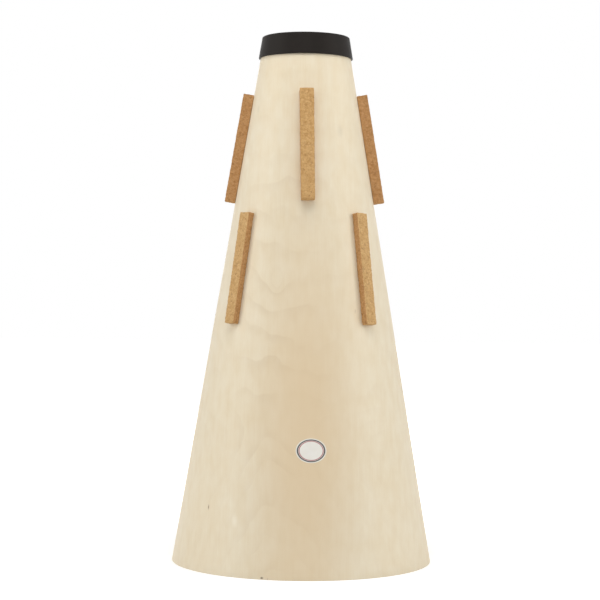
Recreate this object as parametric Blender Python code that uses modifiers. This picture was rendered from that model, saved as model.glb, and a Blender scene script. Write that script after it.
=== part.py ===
"""A straight mute for a tuba: a cone rolled from thin birch plywood.

The wide end is closed by an inset plywood disc that is glued against a hoop inside the wall. The
narrow end is open, and a black rubber ring caps its rim. Two rows of cork strips are glued round
the outside, and they wedge the mute in the bell of the instrument. The sheet's two edges butt
together at the back, over a thin strip that is glued along the inside.

Metres, +Z up. The mute stands on the rim of its wide end. The origin is the centre of that rim,
and the front faces -Y.
"""

import math

import bmesh
import bpy
from mathutils import Matrix, Vector

# The cone, outside
MUTE_HEIGHT = 0.680  # from the floor to the top of the end ring
BASE_RADIUS = 0.1682  # at the floor
THROAT_RADIUS = 0.0547  # at the narrow rim of the plywood
WALL = 0.0020  # three plies of birch
EDGE_ROUND = 0.0004  # sanded edges of the sheet

# What the cone's pieces leave between them: a film of glue, or a slip fit
GLUE_GAP = 0.0003
SEAM_SLIT = 0.0004

# The rubber ring over the narrow rim, a channel with an outer and an inner flange
RING_WALL = 0.0022
RING_LIP = 0.0025  # above the rim
RING_DEPTH = 0.028  # outer flange, from the top
RING_INNER_WALL = 0.0018
RING_INNER_DEPTH = 0.013
RING_ROUND = 0.0020
RING_FOOT_ROUND = 0.0005

# The disc that closes the wide end, and the hoop behind it
DISC_RECESS = 0.0030
DISC_THICKNESS = 0.0040
HOOP_HEIGHT = 0.0150
HOOP_WIDTH = 0.0060
HOOP_ROUND = 0.0012

# The strip behind the seam
SEAM_STRIP_WIDTH = 0.020
SEAM_STRIP_THICKNESS = 0.0015

# The cork strips
CORK_LENGTH = 0.1425
CORK_WIDTH = 0.0175
CORK_ROUND = 0.0006
UPPER_CORK_THICKNESS = 0.0136
LOWER_CORK_THICKNESS = 0.0085
CORK_SETBACK = 0.0480  # from the end ring down to the upper row, along the height
CORK_ROW_GAP = 0.0152  # between the rows, along the height

# Where each strip is glued by hand: degrees round from the front to the right, and degrees that its
# top leans to the strip's own right
UPPER_CORKS = {"front": (2.5, -0.6), "right": (90.0, 0.0), "back": (180.0, 0.0), "left": (-90.0, 0.0)}
LOWER_CORKS = {
    "front_left": (-48.5, 0.2),
    "front_right": (44.6, 1.9),
    "back_right": (135.0, 0.0),
    "back_left": (-135.0, 0.0),
}

# The plain oval label
LABEL_WIDTH = 0.038
LABEL_HEIGHT = 0.030
LABEL_THICKNESS = 0.0003
LABEL_CENTRE_HEIGHT = 0.155
LABEL_ANGLE = 4.5

# How finely the round pieces are faceted
ROUND_STEPS = 128
FILLET_STEPS = 3
LABEL_STEPS = 40
MERGE = 0.0001

RIM_HEIGHT = MUTE_HEIGHT - RING_LIP - GLUE_GAP
SLOPE = (BASE_RADIUS - THROAT_RADIUS) / RIM_HEIGHT
LEAN = math.atan(SLOPE)
DISC_TOP = DISC_RECESS + DISC_THICKNESS
HOOP_FOOT = DISC_TOP + GLUE_GAP
HOOP_TOP = HOOP_FOOT + HOOP_HEIGHT
RING_FOOT = MUTE_HEIGHT - RING_DEPTH
INNER_FLANGE_FOOT = MUTE_HEIGHT - RING_INNER_DEPTH
UPPER_ROW_TOP = RING_FOOT - CORK_SETBACK
LOWER_ROW_TOP = UPPER_ROW_TOP - CORK_LENGTH * math.cos(LEAN) - CORK_ROW_GAP


def radius_at(height, inset=0.0):
    """The cone's radius at a height, on a surface that lies inset inside the outer one."""
    return BASE_RADIUS - SLOPE * height - inset / math.cos(LEAN)


def linear(code):
    """A hex sRGB colour as linear values."""
    parts = [int(code[i : i + 2], 16) / 255 for i in (0, 2, 4)]
    return [p / 12.92 if p <= 0.04045 else ((p + 0.055) / 1.055) ** 2.4 for p in parts]


def finish(name, colour, roughness):
    """A Principled BSDF for one material; nothing here is metal."""
    material = bpy.data.materials.new(name)
    material.use_nodes = True
    shader = material.node_tree.nodes["Principled BSDF"]
    shader.inputs["Base Color"].default_value = (*linear(colour), 1.0)
    shader.inputs["Roughness"].default_value = roughness
    shader.inputs["Metallic"].default_value = 0.0
    return material


def collection(name):
    made = bpy.data.collections.new(name)
    bpy.context.scene.collection.children.link(made)
    return made


def placed(name, mesh, group, material=None, parent=None):
    """A new object of a mesh, in a collection."""
    obj = bpy.data.objects.new(name, mesh)
    group.objects.link(obj)
    obj.parent = parent
    if material:
        obj.data.materials.append(material)
    return obj


def as_cutter(obj):
    obj.hide_render = True
    obj.display_type = "WIRE"
    return obj


def cut(obj, other, operation="DIFFERENCE"):
    boolean = obj.modifiers.new(f"{operation.title()} {other.name}", "BOOLEAN")
    boolean.operation = operation
    boolean.object = other


def rounded(corners):
    """A closed outline of (radius, height, fillet) corners, each fillet drawn as an arc."""
    outline = []
    for i, (radius, height, fillet) in enumerate(corners):
        corner = Vector((radius, height))
        if not fillet:
            outline.append(corner)
            continue
        before = (Vector(corners[i - 1][:2]) - corner).normalized()
        after = (Vector(corners[(i + 1) % len(corners)][:2]) - corner).normalized()
        half = before.angle(after) / 2
        centre = corner + (before + after).normalized() * fillet / math.sin(half)
        first = (corner + before * fillet / math.tan(half) - centre).normalized()
        last = (corner + after * fillet / math.tan(half) - centre).normalized()
        for step in range(FILLET_STEPS + 1):
            outline.append(centre + first.slerp(last, step / FILLET_STEPS) * fillet)
    return outline


def turned(name, outline, group, material=None, parent=None, closed=True):
    """Turns an outline of (radius, height) points round Z; it runs down its outer side."""
    mesh = bpy.data.meshes.new(name)
    edges = [(i, i + 1) for i in range(len(outline) - 1)]
    if closed:
        edges.append((len(outline) - 1, 0))
    mesh.from_pydata([(radius, 0.0, height) for radius, height in outline], edges, [])
    obj = placed(name, mesh, group, material, parent)
    screw = obj.modifiers.new("Turn", "SCREW")
    screw.steps = ROUND_STEPS
    screw.render_steps = ROUND_STEPS
    screw.use_merge_vertices = True
    screw.merge_threshold = MERGE
    screw.use_smooth_shade = True
    return obj


def solid_cone(name, inset, low, high, group):
    """A full cone between two heights, as a cutter whose side lies inset inside the outside."""
    outline = [(0.0, high), (radius_at(high, inset), high), (radius_at(low, inset), low), (0.0, low)]
    return as_cutter(turned(name, outline, group, closed=False))


def box(name, low, high, group, material=None, parent=None):
    """A box between two corners, in the object's own axes."""
    low = Vector(low)
    high = Vector(high)
    mesh = bpy.data.meshes.new(name)
    form = bmesh.new()
    size = Matrix.Diagonal((*(high - low), 1.0))
    bmesh.ops.create_cube(form, size=1.0, matrix=Matrix.Translation((low + high) / 2) @ size)
    form.to_mesh(mesh)
    form.free()
    return placed(name, mesh, group, material, parent)


def stand_on_cone(obj, height, angle, tilt=0.0):
    """Puts an object's origin on the cone's outside, local Z up the slope and local -Y outwards.

    The tilt turns it in the plane of the wall, its top towards local +X.
    """
    turn = math.radians(angle)
    radius = radius_at(height)
    obj.location = (radius * math.sin(turn), -radius * math.cos(turn), height)
    obj.rotation_mode = "YXZ"
    obj.rotation_euler = (-LEAN, math.radians(tilt), turn)


def cone_shell(parts, cutters, parent):
    """The rolled sheet, with a hairline slit at the back where its two edges butt."""
    outline = rounded(
        [
            (radius_at(RIM_HEIGHT), RIM_HEIGHT, EDGE_ROUND),
            (radius_at(0.0), 0.0, EDGE_ROUND),
            (radius_at(0.0, WALL), 0.0, EDGE_ROUND),
            (radius_at(RIM_HEIGHT, WALL), RIM_HEIGHT, EDGE_ROUND),
        ]
    )
    shell = turned("cone_shell", outline, parts, finish("birch_plywood", "E3D5B8", 0.5), parent)
    half = SEAM_SLIT / 2
    high = (half, BASE_RADIUS + WALL, RIM_HEIGHT + WALL)
    cut(shell, as_cutter(box("seam_slit", (-half, 0, -WALL), high, cutters)))


def seam_strip(parts, cutters, parent):
    """The thin strip glued along the inside of the seam, from the hoop to the end ring."""
    low = HOOP_TOP + GLUE_GAP
    high = INNER_FLANGE_FOOT - GLUE_GAP
    face = WALL + GLUE_GAP
    back = face + SEAM_STRIP_THICKNESS
    outline = [
        (radius_at(high, face), high),
        (radius_at(low, face), low),
        (radius_at(low, back), low),
        (radius_at(high, back), high),
    ]
    strip = turned("seam_strip", outline, parts, finish("seam_birch", "DCC9A4", 0.6), parent)
    half = SEAM_STRIP_WIDTH / 2
    keep = box("seam_strip_width", (-half, 0, 0), (half, BASE_RADIUS, MUTE_HEIGHT), cutters)
    cut(strip, as_cutter(keep), "INTERSECT")


def base_disc(parts, parent):
    """The plywood disc set into the wide end, its edge bevelled to the slope of the wall."""
    inset = WALL + GLUE_GAP
    outline = [
        (0.0, DISC_TOP),
        (radius_at(DISC_TOP, inset), DISC_TOP),
        (radius_at(DISC_RECESS, inset), DISC_RECESS),
        (0.0, DISC_RECESS),
    ]
    turned("base_disc", outline, parts, finish("disc_plywood", "DFCFAE", 0.55), parent, closed=False)


def base_hoop(parts, parent):
    """The bent wooden hoop glued round the inside of the wall, which the disc seats against."""
    face = WALL + GLUE_GAP
    inner = face + HOOP_WIDTH
    outline = rounded(
        [
            (radius_at(HOOP_TOP, face), HOOP_TOP, 0),
            (radius_at(HOOP_FOOT, face), HOOP_FOOT, 0),
            (radius_at(HOOP_FOOT, inner), HOOP_FOOT, 0),
            (radius_at(HOOP_TOP, inner), HOOP_TOP, HOOP_ROUND),
        ]
    )
    turned("base_hoop", outline, parts, finish("hoop_beech", "CDB083", 0.6), parent)


def end_ring(parts, parent):
    """The rubber channel pressed over the narrow rim."""
    outside = -GLUE_GAP - RING_WALL
    inside = WALL + GLUE_GAP + RING_INNER_WALL
    roof = MUTE_HEIGHT - RING_LIP
    outline = rounded(
        [
            (radius_at(MUTE_HEIGHT, outside), MUTE_HEIGHT, RING_ROUND),
            (radius_at(RING_FOOT, outside), RING_FOOT, RING_FOOT_ROUND),
            (radius_at(RING_FOOT, -GLUE_GAP), RING_FOOT, 0),
            (radius_at(roof, -GLUE_GAP), roof, 0),
            (radius_at(roof, WALL + GLUE_GAP), roof, 0),
            (radius_at(INNER_FLANGE_FOOT, WALL + GLUE_GAP), INNER_FLANGE_FOOT, 0),
            (radius_at(INNER_FLANGE_FOOT, inside), INNER_FLANGE_FOOT, RING_FOOT_ROUND),
            (radius_at(MUTE_HEIGHT, inside), MUTE_HEIGHT, RING_ROUND),
        ]
    )
    turned("end_ring", outline, parts, finish("black_rubber", "302C2A", 0.6), parent)


def cork_strip(name, row_top, thickness, place, seat, parts, material, parent):
    """One strip: a block with softened edges, its underside shaped to the cone.

    The block starts half its width inside the cone, and a round wall falls away by less than that.
    """
    half_width = CORK_WIDTH / 2
    half_length = CORK_LENGTH / 2
    low = (-half_width, -thickness, -half_length)
    high = (half_width, half_width, half_length)
    strip = box(name, low, high, parts, material, parent)
    stand_on_cone(strip, row_top - half_length * math.cos(LEAN), *place)
    bevel = strip.modifiers.new("Softened edges", "BEVEL")
    bevel.width = CORK_ROUND
    bevel.segments = 2
    cut(strip, seat)


def cork_strips(parts, cutters, parent):
    """The upper row of four thick strips and the lower row of four thinner ones."""
    seat = solid_cone("cork_seat", -GLUE_GAP, 0.0, MUTE_HEIGHT, cutters)
    cork = finish("agglomerated_cork", "C49A68", 0.85)
    rows = (
        ("upper", UPPER_CORKS, UPPER_ROW_TOP, UPPER_CORK_THICKNESS),
        ("lower", LOWER_CORKS, LOWER_ROW_TOP, LOWER_CORK_THICKNESS),
    )
    for row, strips, top, thickness in rows:
        for side, place in strips.items():
            cork_strip(f"{row}_cork_{side}", top, thickness, place, seat, parts, cork, parent)


def label(parts, cutters, parent):
    """A plain oval label that follows the wall."""
    face = -GLUE_GAP
    skin = face - LABEL_THICKNESS
    low = LABEL_CENTRE_HEIGHT - LABEL_HEIGHT
    high = LABEL_CENTRE_HEIGHT + LABEL_HEIGHT
    outline = [
        (radius_at(high, skin), high),
        (radius_at(low, skin), low),
        (radius_at(low, face), low),
        (radius_at(high, face), high),
    ]
    patch = turned("label", outline, parts, finish("label_paper", "F2F0EC", 0.4), parent)
    mesh = bpy.data.meshes.new("label_outline")
    form = bmesh.new()
    half_size = Matrix.Diagonal((LABEL_WIDTH / 2, LABEL_HEIGHT / 2, 1.0, 1.0))
    bmesh.ops.create_cone(
        form,
        cap_ends=True,
        segments=LABEL_STEPS,
        radius1=1.0,
        radius2=1.0,
        depth=LABEL_HEIGHT,
        matrix=Matrix.Rotation(math.pi / 2, 4, "X") @ half_size,
    )
    form.to_mesh(mesh)
    form.free()
    oval = placed("label_outline", mesh, cutters)
    stand_on_cone(oval, LABEL_CENTRE_HEIGHT, LABEL_ANGLE)
    cut(patch, as_cutter(oval), "INTERSECT")


def main():
    for obj in list(bpy.data.objects):
        bpy.data.objects.remove(obj)
    parts = collection("tuba_straight_mute")
    cutters = collection("cutters")
    mute = bpy.data.objects.new("mute_origin", None)
    parts.objects.link(mute)
    cone_shell(parts, cutters, mute)
    seam_strip(parts, cutters, mute)
    base_disc(parts, mute)
    base_hoop(parts, mute)
    end_ring(parts, mute)
    cork_strips(parts, cutters, mute)
    label(parts, cutters, mute)
    for obj in parts.objects:
        if obj.type == "MESH":
            obj.modifiers.new("Flat faces stay flat", "WEIGHTED_NORMAL")


main()
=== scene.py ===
"""The looks of a straight mute for a tuba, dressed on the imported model's frame.

Metres, +Z up. The mute stands on the rim of its wide end, with its axis on Z and its front towards
-Y. A turn is an angle round the axis, in radians from the front to the right. What a material reads
from a mesh, such as where a point lies on the flat sheet, is in millimetres.
"""

import math

import bmesh
import bpy
from mathutils import Matrix, Vector, noise


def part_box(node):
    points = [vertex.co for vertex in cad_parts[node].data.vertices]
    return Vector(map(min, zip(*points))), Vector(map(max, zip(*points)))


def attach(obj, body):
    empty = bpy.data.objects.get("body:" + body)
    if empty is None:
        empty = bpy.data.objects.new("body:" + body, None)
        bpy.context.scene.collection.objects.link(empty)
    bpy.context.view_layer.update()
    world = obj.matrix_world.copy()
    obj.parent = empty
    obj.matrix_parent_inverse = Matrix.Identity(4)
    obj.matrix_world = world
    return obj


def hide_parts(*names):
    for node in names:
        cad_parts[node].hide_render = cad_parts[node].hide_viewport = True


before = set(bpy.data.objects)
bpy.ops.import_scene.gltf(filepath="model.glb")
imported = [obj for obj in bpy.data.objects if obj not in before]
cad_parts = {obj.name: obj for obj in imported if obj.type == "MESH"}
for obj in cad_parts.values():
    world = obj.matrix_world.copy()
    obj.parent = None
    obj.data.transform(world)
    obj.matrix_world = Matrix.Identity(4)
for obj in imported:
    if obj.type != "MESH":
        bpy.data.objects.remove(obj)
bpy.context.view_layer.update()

# The rolled cone
# One sheet of birch plywood, three rotary-cut plies, rolled with its grain down the front. Its two
# edges are butted and glued at the back, and the outside is sanded and sprayed with matt lacquer.

MM = 0.001
RIM_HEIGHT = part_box("cone_shell")[1].z
BASE_RADIUS = 0.1682
THROAT_RADIUS = 0.0547
WALL = 0.0020
SHEET_PLIES = 3
SHEET_EASE = 0.00047
SHEET_COLUMNS = 288
SHEET_ROW = 0.010
SEAM_GAP = 0.0002
SEAM_EASE = 0.0003
SEAM_FLAT = 0.0004
SEAM_FLAT_TURN = 0.30
SLOW_WAVE = 0.0004
SLOW_WAVE_LENGTH = 0.17
# The hoop and the ring hold the sheet round at its rims, and its dents grow over this distance
HELD_ROUND = 0.060
# A face whose middle lies deeper than this under both sides of the sheet belongs to its cut edge
CUT_DEPTH = SHEET_EASE / 8
HARD_EDGE = math.radians(35.0)

SLOPE = (BASE_RADIUS - THROAT_RADIUS) / RIM_HEIGHT
LEAN = math.atan(SLOPE)


def radius_at(height, inset=0.0):
    """The cone's radius at a height, on a surface that lies inset inside the outer one."""
    return BASE_RADIUS - SLOPE * height - inset / math.cos(LEAN)


def position(turn, height, inset=0.0):
    """A point on the cone's outside, or inset inside it."""
    radius = radius_at(height, inset)
    return Vector((radius * math.sin(turn), -radius * math.cos(turn), height))


def rounded(corners, steps=3):
    """A closed outline of (across, height, fillet) corners, each fillet drawn as an arc."""
    outline = []
    for i, (across, height, fillet) in enumerate(corners):
        corner = Vector((across, height))
        if not fillet:
            outline.append(corner)
            continue
        before = (Vector(corners[i - 1][:2]) - corner).normalized()
        after = (Vector(corners[(i + 1) % len(corners)][:2]) - corner).normalized()
        half = before.angle(after) / 2
        centre = corner + (before + after).normalized() * fillet / math.sin(half)
        first = (corner + before * fillet / math.tan(half) - centre).normalized()
        last = (corner + after * fillet / math.tan(half) - centre).normalized()
        for step in range(steps + 1):
            outline.append(centre + first.slerp(last, step / steps) * fillet)
    return outline


def divided(outline, longest):
    """The same outline with points added, so that no stretch of it is longer than that."""
    points = []
    for i, here in enumerate(outline):
        after = outline[(i + 1) % len(outline)]
        parts = math.ceil((after - here).length / longest - 1e-6)
        for part in range(max(parts, 1)):
            points.append(here.lerp(after, part / max(parts, 1)))
    return points


def spaced(low, high, count):
    """Evenly spaced values from low to high."""
    return [low + (high - low) * i / (count - 1) for i in range(count)]


def swept(name, outlines, whole=True):
    """A mesh through closed outlines that follow each other round the axis.

    Where they don't go the whole way round, each end is closed by a strip between the outline's
    two halves, which run along each other.
    """
    count = len(outlines[0])
    faces = []
    for i in range(len(outlines) if whole else len(outlines) - 1):
        here = i * count
        after = (i + 1) % len(outlines) * count
        for j in range(count):
            k = (j + 1) % count
            faces.append((here + j, here + k, after + k, after + j))
    if not whole:
        for start in (0, (len(outlines) - 1) * count):
            for j in range(count // 2 - 1):
                far = start + count - 1 - j
                faces.append((start + j, start + j + 1, far - 1, far))
    return closed_mesh(name, [point for outline in outlines for point in outline], faces)


def closed_mesh(name, points, faces):
    """A mesh of a closed form, with all its faces turned outwards."""
    mesh = bpy.data.meshes.new(name)
    mesh.from_pydata(points, [], faces)
    form = bmesh.new()
    form.from_mesh(mesh)
    bmesh.ops.recalc_face_normals(form, faces=form.faces)
    form.to_mesh(mesh)
    form.free()
    return mesh


def placed(name, data):
    """A new object in the scene, with that mesh, lamp or camera."""
    obj = bpy.data.objects.new(name, data)
    bpy.context.scene.collection.objects.link(obj)
    return obj


def piece(name, mesh, materials, stands_for=None):
    """A piece on the frame's one body, shaded smooth between its hard edges."""
    obj = placed(name, mesh)
    for material in materials:
        mesh.materials.append(material)
    mesh.shade_smooth()
    mesh.set_sharp_from_angle(angle=HARD_EDGE)
    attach(obj, "root")
    if stands_for:
        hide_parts(stands_for)


def note_grain(mesh, vectors):
    """Keeps a vector for each vertex, in millimetres, as the attribute that the materials read."""
    layer = mesh.attributes.new("grain", "FLOAT_VECTOR", "POINT")
    layer.data.foreach_set("vector", [part / MM for vector in vectors for part in vector])


def unrolled(point, depth=0.0):
    """Where a point of the cone lay on the flat sheet: across it, along its grain, and in its depth."""
    from_apex = (BASE_RADIUS / SLOPE - point.z) / math.cos(LEAN)
    bearing = math.atan2(point.x, -point.y) * math.sin(LEAN)
    return Vector((from_apex * math.sin(bearing), from_apex * math.cos(bearing), depth))


def all_round(count):
    """Turns that are evenly spaced the whole way round."""
    return spaced(-math.pi, math.pi, count + 1)[:-1]


def dent(turn, height):
    """How far the sheet sinks in from a true cone: flats beside the seam, and slow waves."""
    free = min(height, RIM_HEIGHT - height, HELD_ROUND) / HELD_ROUND
    flat = SEAM_FLAT * math.exp(-(((math.pi - abs(turn)) / SEAM_FLAT_TURN) ** 2))
    wave = SLOW_WAVE * (0.5 + 0.5 * noise.noise(position(turn, height) / SLOW_WAVE_LENGTH))
    return free * (flat + wave)


def sheet_column(turn, outline, back_off=0.0, ease=0.0):
    """The sheet's outline at one turn, moved back from the seam and thinned at its edge."""
    points = []
    for inset, height in outline:
        inset = min(max(inset, ease), WALL - ease)
        moved = turn - math.copysign(back_off / radius_at(height), turn)
        points.append(position(moved, height, inset + dent(moved, height)))
    return points


def rolled_sheet():
    """The sheet, with its rims eased and its two edges thinned along the seam."""
    outline = rounded(
        [
            (0.0, RIM_HEIGHT, SHEET_EASE),
            (0.0, 0.0, SHEET_EASE),
            (WALL, 0.0, SHEET_EASE),
            (WALL, RIM_HEIGHT, SHEET_EASE),
        ]
    )
    outline = divided(outline, SHEET_ROW)
    half_gap = SEAM_GAP / 2
    columns = [sheet_column(turn, outline) for turn in spaced(-math.pi, math.pi, SHEET_COLUMNS)[1:-1]]
    for end in (-1, 1):
        edge = sheet_column(end * math.pi, outline, half_gap, SEAM_EASE)
        shoulder = sheet_column(end * math.pi, outline, half_gap + SEAM_EASE)
        columns = [edge, shoulder] + columns if end < 0 else columns + [shoulder, edge]
    mesh = swept("cone_shell_sheet", columns, whole=False)
    depths = [inset for inset, _ in outline] * len(columns)
    note_grain(mesh, [unrolled(v.co, depth) for v, depth in zip(mesh.vertices, depths)])
    outside, inside, cut = range(3)
    for face in mesh.polygons:
        depth = sum(depths[i] for i in face.vertices) / len(face.vertices)
        if min(depth, WALL - depth) > CUT_DEPTH:
            face.material_index = cut
        else:
            face.material_index = outside if depth < WALL / 2 else inside
    return mesh


def linear(code):
    """A hex sRGB colour as linear values, with alpha."""
    parts = [int(code[i : i + 2], 16) / 255 for i in (0, 2, 4)]
    return (*[p / 12.92 if p <= 0.04045 else ((p + 0.055) / 1.055) ** 2.4 for p in parts], 1.0)


def finish(name, **settings):
    """A new material with its Principled BSDF, whose settings are the same all over it."""
    material = bpy.data.materials.new(name)
    material.use_nodes = True
    shader = material.node_tree.nodes["Principled BSDF"]
    wire(shader, {socket.replace("_", " "): value for socket, value in settings.items()})
    return material, shader


def wire(node, inputs):
    """Sets a node's inputs by name or place. A value that is a node or a socket is linked."""
    for key, value in inputs.items():
        if isinstance(key, int):
            socket = node.inputs[key]
        else:
            socket = next(s for s in node.inputs if s.name == key and s.enabled)
        if isinstance(value, bpy.types.Node):
            value = next(s for s in value.outputs if s.enabled)
        if isinstance(value, bpy.types.NodeSocket):
            node.id_data.links.new(value, socket)
        else:
            socket.default_value = value


def add(tree, kind, inputs, **settings):
    """Adds a shader node with its settings, and sets or links its inputs."""
    node = tree.nodes.new("ShaderNode" + kind)
    for name, value in settings.items():
        setattr(node, name, value)
    wire(node, inputs)
    return node


# Rotary-cut birch under matt lacquer. A long knife peels the log, so the year rings show as wide,
# faint contour lines in the middle of the sheet and as soft streaks at its sides, with silky
# ripples, a soft mottle, fine fibres and a few brown flecks. The pores are too fine to see, and the
# fibres, 0.2 mm on real birch, are drawn 1.3 mm wide so that they show.
BIRCH_PALE = "EEE5D0"
BIRCH_WARM = "DECBA8"
BIRCH_RING = "A9824F"
BIRCH_FLECK = "7A5230"
# Size across the grain and along it, in millimetres, detail, and share of the tone. The fibres are
# the last one.
BIRCH_PATTERNS = (
    (75.0, 180.0, 2.0, 0.50),
    (52.0, 15.0, 1.0, 0.14),
    (12.0, 26.0, 3.0, 0.65),
    (7.0, 140.0, 2.0, 0.22),
    (1.3, 45.0, 3.0, 0.36),
)
# The contour lines turn back at a saddle on the front, left of the label: above it they hang like
# shallow bowls, and below it they stand like narrow arches. In millimetres: the saddle's place, the
# steps from line to line along and across the grain, and the height that they turn back over.
SADDLE = unrolled(position(math.radians(-17.0), 0.193)) / MM
RING_ALONG = 38.0
RING_ACROSS_ABOVE = 80.0
RING_ACROSS_BELOW = 26.0
SADDLE_ALONG = 22.0
# In steps: how bluntly they turn back across the grain, and how far they slant in each millimetre
SADDLE_ACROSS = 0.7
RING_SKEW = -0.006
# Size of the wander across and along, in millimetres, its detail, and its strength in steps
RING_WANDER = ((70.0, 95.0, 2.0, 2.0), (15.0, 18.0, 2.0, 0.24))
# The part of a step over which the late wood darkens, and where winter ends it
LATE_WOOD = (0.40, 0.94)
WINTER = 0.93
RING_STRENGTH = 0.17
# Where the lines show: turn in degrees, height, and reach across and along, in metres
RING_PATCH = (-13.0, 0.25, 0.085, 0.42)
RING_SHARE_OUTSIDE = 0.16
# Noise that fades the lines in places: its size across and along, in millimetres, and its detail,
# its values between which they fade, and the share that is left of them
RING_FADING = (40.0, 55.0, 1.0)
FADING_BETWEEN = (0.38, 0.58)
FADED_SHARE = 0.2
# An eye in the lines: turn in degrees, height, reach across and along, and its depth in steps
EYE = (-18.2, 0.362, 0.014, 0.022, 1.4)
# Painted shade: a warmer, darker band up the front, where the side lamps light the wood less. Its
# colour, turn in degrees, height, reach across and along, and share
FRONT_PAINTED_SHADE = ("E0C8A3", 2.0, 0.18, 0.095, 0.36, 0.80)
# One place for a fleck, across and along, in millimetres, a fleck's core and its rim as shares of
# that place, and the random value below which a place has a fleck
FLECK_CELL = (26.0, 110.0)
FLECK_CORE = 0.018
FLECK_RIM = 0.040
FLECK_BELOW = 0.45
FLECK_STRENGTH = 0.35
BIRCH_ROUGHNESS = (0.50, 0.62)
# Marks seen on this sheet: colour, turn in degrees, height, half sizes across and along, strength
MARKS = (
    (BIRCH_FLECK, -48.5, 0.0798, 0.0017, 0.0046, 0.80),
    ("4A3524", -16.4, 0.0020, 0.0028, 0.0022, 0.90),
    ("8C8672", 36.3, 0.553, 0.0070, 0.0120, 0.13),
    ("8C8672", -58.8, 0.582, 0.0040, 0.0090, 0.12),
    ("F6EEDC", -31.5, 0.0667, 0.0060, 0.0110, 0.50),
)


def near(tree, place, turn, height, across, along):
    """1 at a point of the sheet, fading smoothly to 0 at that reach across and along it."""
    centre = unrolled(position(math.radians(turn), height))
    scale = (MM / across, MM / along, 0.0)
    offset = (-centre.x / across, -centre.y / along, 0.0)
    apart = add(tree, "VectorMath", {0: place, 1: scale, 2: offset}, operation="MULTIPLY_ADD")
    distance = add(tree, "VectorMath", {0: apart}, operation="LENGTH")
    fade = {"Value": distance, "To Min": 1.0, "To Max": 0.0}
    return add(tree, "MapRange", fade, interpolation_type="SMOOTHSTEP")


def stretched(tree, place, across, along):
    """The place, counted in that size across the grain and along it, in millimetres."""
    scale = (1 / across, 1 / along, 1 / across)
    return add(tree, "VectorMath", {0: place, 1: scale}, operation="MULTIPLY")


def grained(tree, place, across, along, detail):
    """Noise with features of that size, in millimetres, across the grain and along it."""
    place = stretched(tree, place, across, along)
    return add(tree, "TexNoise", {"Vector": place, "Scale": 1.0, "Detail": detail})


def year_rings(tree, place, grain, eye):
    """The share of late wood at each point, from the contour lines."""
    split = add(tree, "SeparateXYZ", {"Vector": place}).outputs
    along = {0: split["Y"], 1: 1 / RING_ALONG, 2: -SADDLE.y / RING_ALONG}
    along = add(tree, "Math", along, operation="MULTIPLY_ADD")
    rise = add(tree, "CombineXYZ", {"X": along, "Y": SADDLE_ALONG / RING_ALONG})
    rise = add(tree, "VectorMath", {0: rise}, operation="LENGTH")
    narrow = {"To Min": 1 / RING_ACROSS_ABOVE, "To Max": 1 / RING_ACROSS_BELOW}
    narrow = {"Value": along, "From Min": -1.0, "From Max": 1.0, **narrow}
    narrow = add(tree, "MapRange", narrow, interpolation_type="SMOOTHSTEP")
    across = add(tree, "Math", {0: split["X"], 1: SADDLE.x}, operation="SUBTRACT")
    across = add(tree, "Math", {0: across, 1: narrow}, operation="MULTIPLY")
    fall = add(tree, "CombineXYZ", {"X": across, "Y": SADDLE_ACROSS})
    fall = add(tree, "VectorMath", {0: fall}, operation="LENGTH")
    rings = add(tree, "Math", {0: rise, 1: fall}, operation="SUBTRACT")
    skew = add(tree, "VectorMath", {0: place, 1: (RING_SKEW, 0.0, 0.0)}, operation="DOT_PRODUCT")
    rings = add(tree, "Math", {0: rings, 1: skew}, operation="SUBTRACT")
    for *size_and_detail, strength in RING_WANDER:
        wander = grained(tree, place, *size_and_detail)
        rings = add(tree, "Math", {0: wander, 1: strength, 2: rings}, operation="MULTIPLY_ADD")
    if eye:
        island = near(tree, grain, *eye[:-1])
        rings = add(tree, "Math", {0: island, 1: eye[-1], 2: rings}, operation="MULTIPLY_ADD")
    year = add(tree, "Math", {0: rings}, operation="FRACT")
    low, high = LATE_WOOD
    growth = {"Value": year, "From Min": low, "From Max": high, "To Max": RING_STRENGTH}
    growth = add(tree, "MapRange", growth, interpolation_type="SMOOTHSTEP")
    winter = {"Value": year, "From Min": WINTER, "To Min": RING_STRENGTH, "To Max": 0.0}
    winter = add(tree, "MapRange", winter)
    late_wood = add(tree, "Math", {0: growth, 1: winter}, operation="MINIMUM")
    shown = {"Value": near(tree, place, *RING_PATCH), "To Min": RING_SHARE_OUTSIDE}
    shown = add(tree, "MapRange", shown)
    late_wood = add(tree, "Math", {0: late_wood, 1: shown}, operation="MULTIPLY")
    fading = grained(tree, place, *RING_FADING)
    low, high = FADING_BETWEEN
    fading = {"Value": fading, "From Min": low, "From Max": high, "To Min": FADED_SHARE}
    fading = add(tree, "MapRange", fading)
    return add(tree, "Math", {0: late_wood, 1: fading}, operation="MULTIPLY")


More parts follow.
